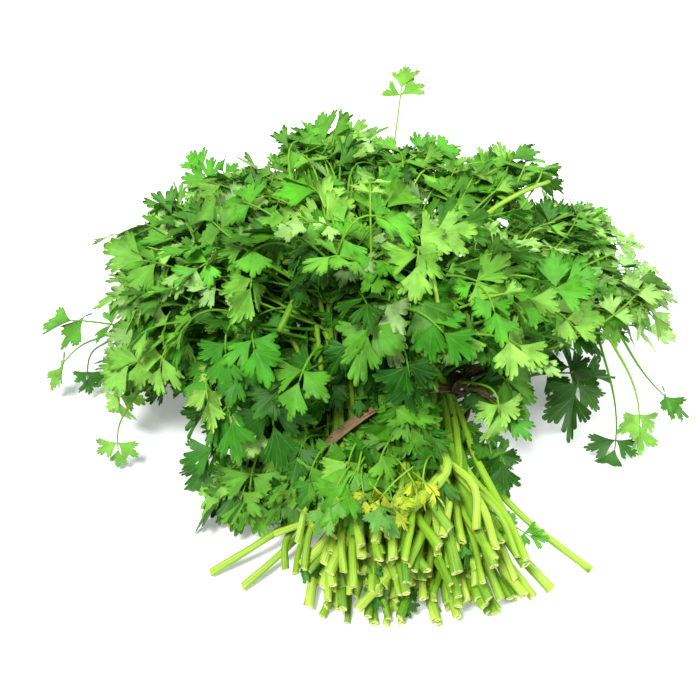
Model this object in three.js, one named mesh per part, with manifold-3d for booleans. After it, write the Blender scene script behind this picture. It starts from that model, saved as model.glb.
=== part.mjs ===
// A bunch of cut coriander lying on a table: stems side by side through a dry tie,
// each forking into two compound leaves that fan out behind the tie and droop at the edge.
// Millimetres, +Z up. +Y runs from the cut ends to the leaf tips, and +X to the right.
import * as THREE from "three";
import { mergeVertices } from "three/addons/utils/BufferGeometryUtils.js";
import Module from "manifold-3d";

// --- driving dimensions -------------------------------------------------------------
const DEG = Math.PI / 180;
const GOLDEN = 0.6180339887;

// The tie is an elliptical hoop of flat dry leaf, turned a little across the stems.
const TIE = { halfWidth: 50, halfHeight: 37, strap: 6, thick: 1.2, skew: 30 * DEG };
const GAP = 0.3; // between pieces that touch

const STEM = { base: 3.5, tip: 2.0, sides: 8, steps: 9 };
// The stems' cut ends: how far they reach before the tie, how uneven they are, how much the
// upper ones hang back, and how they spread, move right and sink to the table.
const CUT = { reach: 106, ragged: 9, rake: 0.32, splay: 1.75, shift: 16, sink: 0.9 };
// Stems keep this far from the hoop's centre line across and up, so that they clear the strap.
const INSIDE = { x: 6, z: 5.5 };
const PETIOLE = { base: 1.5, tip: 1.0, sides: 5, steps: 6 };
const LEAF = { middle: 46, side: 40, low: 34, apart: 30, thick: 1.1, end: 20, droop: 0.0036, cup: 0.0018 };

// The leaves sit in tiers, one above another, each a fan about a point just behind the tie.
// centre and span are the fan's middle and half angle from +Y, reach its half width and its
// depth, height that of its leaves, pitch how far they hang, and level the place of the
// tier's stems in the tie, from -1 at the bottom to 1 at the top.
const FAN = { x: -26, y: 58 };
// Stems fork this far before the fan's centre, at this share of their tier's reach and height.
const FORK = { before: 30, share: 0.36, rise: 0.62, frontRise: 0.85 };
const TIERS = [
  { stems: 6, leaves: 8, centre: 0, span: 104, reach: [154, 122], height: 28, pitch: 7, level: -1 },
  { stems: 5, leaves: 7, centre: 0, span: 114, reach: [146, 118], height: 68, pitch: 16, level: -0.5 },
  { stems: 4, leaves: 6, centre: 0, span: 118, reach: [124, 108], height: 108, pitch: 14, level: -0.06 },
  { stems: 4, leaves: 5, centre: 0, span: 118, reach: [88, 82], height: 140, pitch: 8, level: 0.41 },
  { stems: 2, leaves: 4, centre: 0, span: 130, reach: [42, 44], height: 160, pitch: -4, level: 0.42 },
  { stems: 2, leaves: 4, centre: 180, span: 76, reach: [92, 84], height: 116, pitch: 40, level: 0.84 },
];
// One more leaf stands clear of the rest, up and back, on the right stem of the fifth tier.
const STRAY = { tier: 4, stem: 1, at: [8, 186, 168], heading: 8, pitch: -24 };

// --- small tools --------------------------------------------------------------------
const wasm = await Module();
wasm.setup();

// A number from -1 to 1 that differs for each piece and each use of it.
const vary = (index, use) => {
  const x = (index + 1) * GOLDEN * (use + 1.37);
  return 2 * (x - Math.floor(x)) - 1;
};
const mix = (a, b, t) => a + (b - a) * t;

function solid(geometry) {
  const bare = geometry.index ? geometry.toNonIndexed() : geometry.clone();
  for (const name of ["normal", "uv"]) bare.deleteAttribute(name);
  const merged = mergeVertices(bare, 1e-4);
  return new wasm.Manifold(
    new wasm.Mesh({
      numProp: 3,
      vertProperties: merged.attributes.position.array,
      triVerts: new Uint32Array(merged.index.array),
    }),
  );
}

function geometryOf(body) {
  const made = body.getMesh();
  const geometry = new THREE.BufferGeometry();
  geometry.setAttribute("position", new THREE.BufferAttribute(made.vertProperties, 3));
  geometry.setIndex(new THREE.BufferAttribute(made.triVerts, 1));
  geometry.computeVertexNormals();
  return geometry;
}

// A round tube along a curve, thinning evenly from one radius to another, closed at both ends.
function taperedTube(curve, from, to, sides, steps) {
  const section = new THREE.Shape();
  for (let i = 0; i < sides; i++) {
    const a = (2 * Math.PI * (i + 0.5)) / sides;
    const [x, y] = [from * Math.cos(a), from * Math.sin(a)];
    if (i) section.lineTo(x, y);
    else section.moveTo(x, y);
  }
  const tube = new THREE.ExtrudeGeometry(section, {
    steps,
    extrudePath: curve,
    bevelEnabled: false,
  });
  const centres = Array.from({ length: steps + 1 }, (_, i) => curve.getPointAt(i / steps));
  const at = tube.attributes.position;
  const point = new THREE.Vector3();
  for (let i = 0; i < at.count; i++) {
    point.fromBufferAttribute(at, i);
    let near = 0;
    for (let k = 1; k <= steps; k++)
      if (point.distanceTo(centres[k]) < point.distanceTo(centres[near])) near = k;
    const scale = mix(1, to / from, near / steps);
    point.sub(centres[near]).multiplyScalar(scale).add(centres[near]);
    at.setXYZ(i, point.x, point.y, point.z);
  }
  return tube;
}

// --- colours ------------------------------------------------------------------------
const stemGreen = new THREE.MeshStandardMaterial({ color: 0x9ccb3f, roughness: 0.5 });
const leafGreens = [0x3f9a2e, 0x57ad33, 0x74c043, 0x2f8430].map(
  (color) => new THREE.MeshStandardMaterial({ color, roughness: 0.6, side: THREE.DoubleSide }),
);
const dryBrown = new THREE.MeshStandardMaterial({ color: 0x7a4a26, roughness: 0.8 });

// --- where everything grows ---------------------------------------------------------
// A stem's course from its cut end through the tie, at u across and level up, to its fork.
function course(index, u, level, fork) {
  const [width, height] = [TIE.halfWidth - INSIDE.x, TIE.halfHeight - INSIDE.z];
  const up = height * (1 + level * Math.sqrt(1 - u * u));
  const tiePoint = new THREE.Vector3(width * u, Math.tan(TIE.skew) * width * u, INSIDE.z + up);
  const radius = STEM.base * (1 + 0.16 * vary(index, 8));
  const cutEnd = new THREE.Vector3(
    tiePoint.x * CUT.splay + CUT.shift + 3 * vary(index, 1),
    -CUT.reach - CUT.ragged * vary(index, 2) + CUT.rake * up,
    radius + CUT.sink * up,
  );
  return { index, radius, cutEnd, tiePoint, fork };
}

// One entry for each stem: its course, and the places of the leaves that it forks into.
function sprigs() {
  const found = [];
  let leafIndex = 0;
  TIERS.forEach((tier, t) => {
    for (let s = 0; s < tier.stems; s++) {
      const index = found.length;
      const front = tier.centre === 180;
      const side = (2 * (s + 0.5)) / tier.stems - 1;
      const turn = side * Math.min(tier.span, 100) * DEG * 0.9;
      const fork = new THREE.Vector3(
        FAN.x + FORK.share * tier.reach[0] * Math.sin(turn),
        FAN.y - FORK.before + (front ? 0 : FORK.share) * tier.reach[1] * Math.cos(turn),
        0,
      );
      const sprig = course(index, 0.94 * side, tier.level, fork);
      fork.z = mix(sprig.tiePoint.z, tier.height, front ? FORK.frontRise : FORK.rise);
      const from = Math.ceil((s * tier.leaves) / tier.stems);
      const to = Math.ceil(((s + 1) * tier.leaves) / tier.stems);
      sprig.leaves = [];
      for (let n = from; n < to; n++) {
        const place = (2 * (n + 0.5)) / tier.leaves - 1;
        const azimuth = (front ? tier.centre - place * tier.span : place * tier.span) * DEG;
        const reach = 1 + 0.05 * vary(leafIndex, 3);
        const lies = t === 0;
        const loose = lies ? 0.4 : 1;
        const at = new THREE.Vector3(
          FAN.x + reach * tier.reach[0] * Math.sin(azimuth),
          FAN.y + reach * tier.reach[1] * Math.cos(azimuth),
          tier.height + 4 * vary(leafIndex, 4) * loose,
        );
        const heading = azimuth + 10 * DEG * vary(leafIndex, 5);
        const roll = (13 + 5 * vary(leafIndex, 6)) * DEG * loose;
        const size = 1 + 0.1 * vary(leafIndex, 7);
        const pitch = tier.pitch * DEG;
        sprig.leaves.push({ index: leafIndex++, at, heading, pitch, roll, size, lies });
      }
      if (t === STRAY.tier && s === STRAY.stem) {
        const at = new THREE.Vector3(...STRAY.at);
        const [heading, pitch] = [STRAY.heading * DEG, STRAY.pitch * DEG];
        const stray = { index: leafIndex++, at, heading, pitch, roll: 0, size: 1 };
        sprig.leaves.splice(1, 0, stray);
      }
      found.push(sprig);
    }
  });
  return found;
}

// --- one stem -----------------------------------------------------------------------
function stemCurve({ cutEnd, tiePoint, fork }) {
  const before = cutEnd.clone().lerp(tiePoint, 0.55);
  before.x = mix(cutEnd.x, tiePoint.x, 0.66);
  const after = tiePoint.clone().lerp(fork, 0.35);
  after.x = mix(tiePoint.x, fork.x, 0.22);
  return new THREE.CatmullRomCurve3([cutEnd, before, tiePoint, after, fork], false, "centripetal");
}

// The stem's body, or with grow the space it keeps clear around itself.
function stemBody(sprig, grow) {
  const { tip, sides, steps } = STEM;
  return solid(taperedTube(stemCurve(sprig), sprig.radius + grow, tip + grow, sides, steps));
}

// --- one leaf -----------------------------------------------------------------------
// A leaflet is a fan with three lobes: each lobe is three blunt teeth between two notches.
function leafletShape(length, width) {
  const rim = [
    [0, 0], [0.3, 0.2], [0.42, 0.5], [0.62, 0.48], [0.58, 0.24], [0.86, 0.34], [0.9, 0.16],
    [1, 0], [0.9, -0.16], [0.86, -0.34], [0.58, -0.24], [0.62, -0.48], [0.42, -0.5], [0.3, -0.2],
  ];
  const shape = new THREE.Shape();
  rim.forEach(([x, y], i) => {
    if (i) shape.lineTo(x * length, y * width);
    else shape.moveTo(0, 0);
  });
  return shape;
}

// A flat leaflet turned about the leaf's normal and moved along the leaf's axis.
function leaflet(length, width, turn, along, grow) {
  const depth = LEAF.thick + 2 * grow;
  const shape = leafletShape(length + 3 * grow, width + 3 * grow);
  const plate = new THREE.ExtrudeGeometry(shape, { depth, bevelEnabled: false });
  plate.translate(-1.5 - 1.5 * grow, 0, -depth / 2);
  plate.rotateZ(turn);
  plate.translate(along, 0, 0);
  return plate;
}

// Bends a leaf's flat pieces: it droops towards its tip and its sides lift.
function bend(geometry) {
  const at = geometry.attributes.position;
  for (let i = 0; i < at.count; i++) {
    const [x, y] = [Math.max(at.getX(i), 0), at.getY(i)];
    at.setZ(i, at.getZ(i) - LEAF.droop * x * x + LEAF.cup * y * y);
  }
  return geometry;
}

// The leaf's own frame: X along it, Y across it, Z out of its upper face.
function leafFrame({ at, heading, pitch, roll }) {
  const turn = new THREE.Matrix4().makeRotationZ(Math.PI / 2 - heading);
  turn.multiply(new THREE.Matrix4().makeRotationY(pitch));
  turn.multiply(new THREE.Matrix4().makeRotationX(roll));
  return turn.setPosition(at);
}

// The leaf's body, or with grow the space it keeps clear around itself.
function leafBody(place, stalkFrom, grow) {
  const frame = leafFrame(place);
  const start = stalkFrom.clone().applyMatrix4(frame.clone().invert());
  const s = place.size;
  const stalk = new THREE.CatmullRomCurve3([
    start,
    new THREE.Vector3(start.x * 0.45, start.y * 0.35, start.z * 0.4 + 3),
    new THREE.Vector3(0, 0, 0),
    new THREE.Vector3(LEAF.end * s, 0, -LEAF.droop * (LEAF.end * s) ** 2),
  ]);
  const { base, tip, sides, steps } = PETIOLE;
  let body = solid(taperedTube(stalk, base + grow, tip + grow, sides, steps));
  const fans = [
    leaflet(LEAF.low * s, LEAF.low * s, 66 * DEG, -LEAF.apart * s, grow),
    leaflet(LEAF.low * s, LEAF.low * s, -66 * DEG, -LEAF.apart * s, grow),
    leaflet(LEAF.middle * s, 0.92 * LEAF.middle * s, 0, LEAF.end * s, grow),
    leaflet(LEAF.side * s, 0.95 * LEAF.side * s, 58 * DEG, 1, grow),
    leaflet(LEAF.side * s, 0.95 * LEAF.side * s, -58 * DEG, 1, grow),
  ];
  for (const fan of fans) body = body.add(solid(bend(fan)));
  return body.transform(frame.elements);
}

// --- the tie ------------------------------------------------------------------------
// A point of the hoop: out is how far past its inner face, along how far across the strap.
function hoopPoint(angle, out, along) {
  const x = (TIE.halfWidth - TIE.thick + out) * Math.cos(angle);
  const z = TIE.halfHeight + (TIE.halfHeight - TIE.thick + out) * Math.sin(angle);
  return new THREE.Vector3(x, Math.tan(TIE.skew) * x + along, z);
}

function tieBand() {
  const turns = 40;
  const corners = [
    [0, -TIE.strap / 2],
    [TIE.thick, -TIE.strap / 2],
    [TIE.thick, TIE.strap / 2],
    [0, TIE.strap / 2],
  ];
  const positions = [];
  const faces = [];
  for (let i = 0; i < turns; i++)
    for (const [out, along] of corners) {
      const p = hoopPoint((2 * Math.PI * i) / turns, out, along);
      positions.push(p.x, p.y, p.z);
    }
  for (let i = 0; i < turns; i++)
    for (let k = 0; k < 4; k++) {
      const [a, b] = [4 * i + k, 4 * i + ((k + 1) % 4)];
      const [c, d] = [4 * ((i + 1) % turns) + k, 4 * ((i + 1) % turns) + ((k + 1) % 4)];
      faces.push(a, b, c, b, d, c);
    }
  const band = new THREE.BufferGeometry();
  band.setAttribute("position", new THREE.Float32BufferAttribute(positions, 3));
  band.setIndex(faces);
  return solid(band);
}

// The strap's ends are twisted together in a lump on the hoop's right shoulder, with two short tails.
function tieKnot() {
  const angle = 38 * DEG;
  const lump = new THREE.SphereGeometry(1, 10, 7).scale(7, 8, 5.5);
  let body = solid(lump);
  for (const [turn, length] of [[35, 24], [-75, 18]]) {
    const tail = new THREE.BoxGeometry(length, TIE.strap, TIE.thick, 3, 1, 1);
    tail.translate(length / 2 + 2, 0, 0).rotateZ(turn * DEG).rotateY(-8 * DEG);
    body = body.add(solid(tail));
  }
  const place = new THREE.Matrix4().makeRotationY(Math.PI / 2 - angle - 14 * DEG);
  place.setPosition(hoopPoint(angle, TIE.thick + 6.4, 0));
  return body.transform(place.elements);
}

// --- the bunch ----------------------------------------------------------------------
const bunch = new THREE.Group();
const add = (geometry, material, name) => {
  const mesh = new THREE.Mesh(geometry, material);
  mesh.name = name;
  bunch.add(mesh);
};
const label = (word, index) => `${word}_${String(index + 1).padStart(2, "0")}`;

// Takes from a body the space of the pieces already there, and keeps its largest part.
function fitAmong(body, kept) {
  for (const space of kept)
    if (body.intersect(space).volume() > 0) body = body.subtract(space);
  const parts = body.decompose();
  return parts.reduce((a, b) => (b.volume() > a.volume() ? b : a));
}

const hoop = tieBand();
const knot = tieKnot();
const kept = [];
const all = sprigs();
for (const sprig of all) kept.push(stemBody(sprig, GAP));
for (const sprig of all) {
  add(geometryOf(stemBody(sprig, 0)), stemGreen, label("stem", sprig.index));
  const curve = stemCurve(sprig);
  const direction = curve.getTangentAt(1);
  sprig.leaves.forEach((place, k) => {
    // One leaf goes on from the stem's end, and the others leave its sides.
    const side = sprig.leaves.length === 3 ? k - 1 : k;
    const clear = side * (STEM.tip + PETIOLE.base + 1.2);
    const across = new THREE.Vector3(direction.y, -direction.x, 0).normalize();
    const from = side
      ? curve.getPointAt(0.93).addScaledVector(across, clear)
      : sprig.fork.clone().addScaledVector(direction, 1.2);
    // The lowest tier's leaves lie on the table, level with the bottom of the tie.
    if (place.lies) place.at.z -= leafBody(place, from, 0).boundingBox().min[2];
    const body = fitAmong(leafBody(place, from, 0), kept);
    kept.push(leafBody(place, from, GAP));
    add(geometryOf(body), leafGreens[place.index % leafGreens.length], label("leaf", place.index));
  });
}
add(geometryOf(hoop), dryBrown, "tie_band");
add(geometryOf(knot), dryBrown, "tie_knot");

// The origin is under the middle of the whole bunch, on the table.
const box = new THREE.Box3().setFromObject(bunch, true);
const middle = box.getCenter(new THREE.Vector3());
bunch.position.set(-middle.x, -middle.y, -box.min.z);

const coriander = new THREE.Group();
coriander.add(bunch);
export default coriander;
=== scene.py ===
"""A bunch of cut coriander lying on a pale floor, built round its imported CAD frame.

Lengths below are in millimetres in the tie's own frame, whose origin is on the floor under the tie,
until Soup.build() turns them into metres in the row frame. +Y runs from the cut ends to the leaves.
"""
import math

import bpy
import numpy as np
from mathutils import Matrix, Vector


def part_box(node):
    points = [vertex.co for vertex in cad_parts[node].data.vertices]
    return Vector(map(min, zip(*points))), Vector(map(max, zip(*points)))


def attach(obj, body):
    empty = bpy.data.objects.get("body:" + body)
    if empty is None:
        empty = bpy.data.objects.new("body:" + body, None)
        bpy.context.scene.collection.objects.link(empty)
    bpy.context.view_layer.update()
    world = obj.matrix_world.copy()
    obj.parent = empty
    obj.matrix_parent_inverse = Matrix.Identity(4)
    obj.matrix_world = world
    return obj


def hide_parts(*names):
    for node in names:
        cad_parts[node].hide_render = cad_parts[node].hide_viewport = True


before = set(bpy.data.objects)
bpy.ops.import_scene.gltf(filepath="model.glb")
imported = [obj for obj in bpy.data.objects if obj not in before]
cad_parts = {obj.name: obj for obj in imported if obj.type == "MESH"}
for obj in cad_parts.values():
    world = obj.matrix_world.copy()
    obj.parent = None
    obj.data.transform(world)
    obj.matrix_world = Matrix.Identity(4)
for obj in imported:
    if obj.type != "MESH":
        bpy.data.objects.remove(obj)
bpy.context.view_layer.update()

DEG = math.pi / 180
GOLDEN = 0.6180339887

# --- the layout, the same as the solids' ---
HALF_WIDTH, HALF_HEIGHT, THICK = 50, 37, 1.2
SKEW = math.tan(30 * DEG)
INSIDE_X, INSIDE_Z = 6, 5.5
REACH, RAGGED, RAKE, SPLAY, SHIFT, SINK = 106, 9, 0.32, 1.75, 16, 0.9
FAN_X, FAN_Y = -26, 58
FORK_BEFORE, FORK_SHARE, FORK_RISE, FRONT_RISE = 30, 0.36, 0.62, 0.85
# stems, leaves, span, reach across, reach along, height, pitch, level
TIERS = [
    (6, 8, 104, 154, 122, 28, 7, -1),
    (5, 7, 114, 146, 118, 68, 16, -0.5),
    (4, 6, 118, 124, 108, 108, 14, -0.06),
    (4, 5, 118, 88, 82, 140, 8, 0.41),
    (2, 4, 130, 42, 44, 160, -4, 0.42),
    (2, 4, 76, 92, 84, 116, 40, 0.84),
]
FRONT = 5
STRAY = dict(tier=4, stem=1, at=(8, 186, 168), heading=8, pitch=-24)

# --- what only the looks need ---
# leaflets: the end one, the pair beside it, each lower pair, and how far apart the pairs are
LEAFLET = dict(middle=28, side=25, low=21, apart=21, end=8, droop=0.0055)
# the dome of leaves round the fan's point: half width, depth behind and before, base, rise and
# how square its shoulders are (2 is round)
DOME = dict(x=150, back=132, front=86, base=16, rise=150, square=2.9)

# The strap, the knot and the stems below it show between the leaves: each gap's middle, the way
# that it runs, and half its length and breadth, seen from before and above.
WINDOWS = [
    ((-31, -17, 71), (0.81, 0.47, 0.36), 16, 6),
    ((41, 25, 66), (1, 0, 0), 15, 10),
    ((38, -4, 66), (0.1, -1, 0), 15, 6),
]
WINDOW_WAY = (0, -0.74, 0.67)
# The floor stays bare on both sides of the cut stems. At each place across, a leaf lies at least
# this high up the slope that the camera looks down.
BRIM_X = (-190, -158, -125, -110, 58, 77, 97, 136)
BRIM_RISE = (78, 62, 68, 0, 0, 68, 94, 107)
SLOPE_UP, SLOPE_ALONG = 0.743, 0.669     # the cosine and sine of the camera's 42 degrees

low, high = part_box("tie_band")
TIE_AT = np.array([(low.x + high.x) / 2, (low.y + high.y) / 2, 0]) * 1000


def vary(index, use):
    x = (index + 1) * GOLDEN * (use + 1.37)
    return 2 * (x - math.floor(x)) - 1


def mix(a, b, t):
    return a + (b - a) * t


def vec(*xyz):
    return np.array(xyz, float)


def bearing(degrees):
    """The level direction at this many degrees from +Y towards +X."""
    return vec(math.sin(degrees * DEG), math.cos(degrees * DEG), 0)


def course(index, u, level, fork):
    """A stem's cut end, its place in the tie and its fork."""
    width, height = HALF_WIDTH - INSIDE_X, HALF_HEIGHT - INSIDE_Z
    up = height * (1 + level * math.sqrt(max(0, 1 - u * u)))
    radius = 3.5 * (1 + 0.16 * vary(index, 8))
    tie = vec(width * u, SKEW * width * u, INSIDE_Z + up)
    cut = vec(
        tie[0] * SPLAY + SHIFT + 3 * vary(index, 1),
        -REACH - RAGGED * vary(index, 2) + RAKE * up,
        radius + SINK * up,
    )
    return dict(index=index, radius=radius, cut=cut, tie=tie, fork=fork, u=u, level=level)


def fork_place(side, span, across, along, front):
    turn = side * min(span, 100) * DEG * 0.9
    return vec(
        FAN_X + FORK_SHARE * across * math.sin(turn),
        FAN_Y - FORK_BEFORE + (0 if front else FORK_SHARE) * along * math.cos(turn),
        0,
    )


def cad_sprigs():
    """The solids' own stems and leaves."""
    found, leaf = [], 0
    for t, (stems, leaves, span, across, along, height, pitch, level) in enumerate(TIERS):
        front = t == FRONT
        for s in range(stems):
            side = 2 * (s + 0.5) / stems - 1
            fork = fork_place(side, span, across, along, front)
            sprig = course(len(found), 0.94 * side, level, fork)
            fork[2] = mix(sprig["tie"][2], height, FRONT_RISE if front else FORK_RISE)
            sprig["leaves"] = []
            for n in range(math.ceil(s * leaves / stems), math.ceil((s + 1) * leaves / stems)):
                place = 2 * (n + 0.5) / leaves - 1
                azimuth = 180 - place * span if front else place * span
                far = 1 + 0.05 * vary(leaf, 3)
                loose = 0.4 if t == 0 else 1
                out = bearing(azimuth) * far
                sprig["leaves"].append(dict(
                    index=leaf,
                    at=vec(FAN_X + across * out[0], FAN_Y + along * out[1],
                           height + 4 * vary(leaf, 4) * loose),
                    heading=azimuth + 10 * vary(leaf, 5), pitch=pitch,
                    roll=(13 + 5 * vary(leaf, 6)) * loose,
                    size=1 + 0.1 * vary(leaf, 7), lies=t == 0,
                ))
                leaf += 1
            if t == STRAY["tier"] and s == STRAY["stem"]:
                sprig["leaves"].insert(1, dict(
                    index=leaf, at=vec(*STRAY["at"]), heading=STRAY["heading"],
                    pitch=STRAY["pitch"], roll=0, size=1, lies=False, stray=True))
                leaf += 1
            found.append(sprig)
    return found


# --- curves ---
def spline(points, steps):
    """A centripetal Catmull-Rom curve through the points, at even steps along it."""
    p = np.array(points, float)
    p = np.vstack([2 * p[0] - p[1], p, 2 * p[-1] - p[-2]])
    dense = []
    for i in range(1, len(p) - 2):
        d = [max(np.linalg.norm(p[i + k] - p[i + k - 1]) ** 0.5, 1e-4) for k in (0, 1, 2)]
        t1 = (p[i] - p[i - 1]) / d[0] - (p[i + 1] - p[i - 1]) / (d[0] + d[1])
        t1 = (t1 + (p[i + 1] - p[i]) / d[1]) * d[1]
        t2 = (p[i + 1] - p[i]) / d[1] - (p[i + 2] - p[i]) / (d[1] + d[2])
        t2 = (t2 + (p[i + 2] - p[i + 1]) / d[2]) * d[1]
        t = np.linspace(0, 1, 13)[:, None]
        a = 2 * p[i] - 2 * p[i + 1] + t1 + t2
        b = -3 * p[i] + 3 * p[i + 1] - 2 * t1 - t2
        dense.append((a * t**3 + b * t**2 + t1 * t + p[i])[: None if i == len(p) - 3 else -1])
    return evenly(np.vstack(dense), steps)


def gone_along(path):
    """How far along a path each of its points is."""
    return np.concatenate([[0], np.cumsum(np.linalg.norm(np.diff(path, axis=0), axis=1))])


def headings(path):
    """The direction of a path at each of its points."""
    ahead = np.gradient(path, axis=0)
    return ahead / np.linalg.norm(ahead, axis=1)[:, None]


def evenly(dense, steps):
    """A curve through the same points, at even steps along it."""
    gone = gone_along(dense)
    at = np.linspace(0, gone[-1], steps + 1)
    return np.stack([np.interp(at, gone, dense[:, k]) for k in range(3)], 1)


def bezier(a, b, c, d, steps):
    t = np.linspace(0, 1, 25)[:, None]
    return evenly((1 - t)**3 * a + 3 * (1 - t)**2 * t * b + 3 * (1 - t) * t**2 * c + t**3 * d, steps)


def stem_curve(sprig, steps):
    cut, tie, fork = sprig["cut"], sprig["tie"], sprig["fork"]
    before = mix(cut, tie, 0.55)
    before[0] = mix(cut[0], tie[0], 0.66)
    after = mix(tie, fork, 0.35)
    after[0] = mix(tie[0], fork[0], 0.22)
    sway, bow = sprig.get("sway", vec(0, 0, 0)), sprig.get("bow", vec(0, 0, 0))
    low_part = mix(cut, before, 0.45) + bow
    return spline([cut, low_part, before + sway, tie, after, fork], steps)


# --- one mesh of many parts ---
class Soup:
    """Gathers closed shells, with a tint of four numbers at each point.

    Each set of faces has flat coordinates from 0 to 1 over it, and a cell of its own in the
    unwrapped sheet that the surface is baked on.
    """

    def __init__(self, press=3.0):
        self.press = press
        self.points, self.faces, self.tints, self.flats, self.slots = [], [], [], [], []
        self.cells, self.spans = [], []
        self.count = self.cell = 0

    def add(self, points, sets, tint, slot, span=(1, 1)):
        """sets is a list of (faces, corner coordinates), each of triangles or of quads."""
        self.points.append(points)
        self.tints.append(np.broadcast_to(tint, (len(points), 4)))
        for faces, flats in sets:
            self.faces.append(faces + self.count)
            self.flats.append(flats)
            self.slots.append(np.full(len(faces), slot))
            self.cells.append(self.cell)
            self.spans.append(span)
            self.cell += 1
        self.count += len(points)

    def join(self, other):
        """Takes in all that another one holds."""
        for name in ("points", "tints", "flats", "slots", "spans"):
            getattr(self, name).extend(getattr(other, name))
        self.faces += [faces + self.count for faces in other.faces]
        self.cells += [cell + self.cell for cell in other.cells]
        self.count += other.count
        self.cell += other.cell

    def build(self, name, materials):
        points = np.vstack(self.points)
        # what would hang below the floor is pressed flat on it
        below = points[:, 2] < self.press
        points[below, 2] = self.press * np.exp(points[below, 2] / self.press - 1)
        points = (points + TIE_AT) / 1000
        sizes = np.concatenate([np.full(len(f), f.shape[1]) for f in self.faces])
        corners = np.concatenate([f.ravel() for f in self.faces])
        mesh = bpy.data.meshes.new(name)
        mesh.vertices.add(len(points))
        mesh.vertices.foreach_set("co", points.ravel().astype(np.float32))
        mesh.loops.add(len(corners))
        mesh.loops.foreach_set("vertex_index", corners.astype(np.int32))
        mesh.polygons.add(len(sizes))
        starts = np.concatenate([[0], np.cumsum(sizes)[:-1]])
        mesh.polygons.foreach_set("loop_start", starts.astype(np.int32))
        for material in materials:
            mesh.materials.append(material)
        mesh.polygons.foreach_set("material_index", np.concatenate(self.slots).astype(np.int32))
        mesh.polygons.foreach_set("use_smooth", np.ones(len(sizes), bool))
        tint = mesh.attributes.new("tint", "FLOAT_COLOR", "POINT")
        tint.data.foreach_set("color", np.vstack(self.tints).astype(np.float32).ravel())
        across = math.ceil(math.sqrt(self.cell))
        flats, sheet = [], []
        for cell, span, flat in zip(self.cells, self.spans, self.flats):
            flat = flat.reshape(-1, 2)
            home = np.array([cell % across, cell // across])
            flats.append(flat * np.array(span))
            sheet.append((home + 0.04 + 0.92 * flat) / across)
        for layer, uv in (("flat", flats), ("OFBake", sheet)):
            data = mesh.uv_layers.new(name=layer).data
            data.foreach_set("uv", np.vstack(uv).astype(np.float32).ravel())
        mesh.update(calc_edges=True)
        mesh.validate()
        piece = bpy.data.objects.new(name, mesh)
        bpy.context.scene.collection.objects.link(piece)
        return piece


def grid_faces(rows, columns, closed=False):
    """Quads over a grid of points numbered row by row."""
    i = np.arange(rows - 1)[:, None]
    j = np.arange(columns if closed else columns - 1)[None, :]
    k = (j + 1) % columns
    a, b = i * columns + j, i * columns + k
    return np.stack([a, b, b + columns, a + columns], -1).reshape(-1, 4)


def closed_tube(soup, rings, tints, slot, length):
    """A closed skin over rings of points. Its flat coordinates run round it and along it."""
    rows, sides = rings.shape[:2]
    ends = [rings[0].mean(0), rings[-1].mean(0)]
    points = np.vstack([rings.reshape(-1, 3), ends])
    tints = np.broadcast_to(tints, (rows, sides, 4)).reshape(-1, 4)
    tints = np.vstack([tints, tints[0], tints[-1]])
    body = grid_faces(rows, sides, closed=True)
    u0 = np.tile(np.arange(sides), rows - 1) / sides
    u1 = u0 + 1 / sides
    v = np.arange(rows) / (rows - 1)
    v0, v1 = np.repeat(v[:-1], sides), np.repeat(v[1:], sides)
    flats = np.stack([np.stack([u0, v0], -1), np.stack([u1, v0], -1),
                      np.stack([u1, v1], -1), np.stack([u0, v1], -1)], 1)
    j = np.arange(sides)
    k = (j + 1) % sides
    near = np.stack([np.full(sides, rows * sides), k, j], 1)
    far = np.stack([np.full(sides, rows * sides + 1), (rows - 1) * sides + j,
                    (rows - 1) * sides + k], 1)
    angle = np.stack([j, k], 1) * 2 * math.pi / sides
    disk = 0.5 + 0.5 * np.stack([np.cos(angle), np.sin(angle)], -1)
    centre = np.full((sides, 1, 2), 0.5)
    near_flats = np.concatenate([centre, disk[:, ::-1]], 1)
    far_flats = np.concatenate([centre, disk], 1)
    soup.add(points, [(body, flats), (near, near_flats), (far, far_flats)], tints, slot,
             span=(1, length / 100))


def frames_along(path):
    """Directions along a path, and two across it that don't twist."""
    ahead = headings(path)
    side = np.cross(ahead[0], vec(0, 0, 1) if abs(ahead[0][2]) < 0.9 else vec(1, 0, 0))
    across = []
    for a in ahead:
        side = side - a * side.dot(a)
        side /= np.linalg.norm(side)
        across.append(side)
    across = np.array(across)
    return ahead, across, np.cross(across, ahead)


# rings of a cut end, from its rim in: share of the width, depth, how much they look cut
CUT_RINGS = [
    (0.93, -0.35, 0.5),  # bevel
    (0.72, -0.5, 1),  # face
    (0.42, -0.3, 1),  # rim of the hollow
    (0.3, 1.6, 0.8),  # floor of the hollow
]


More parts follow.
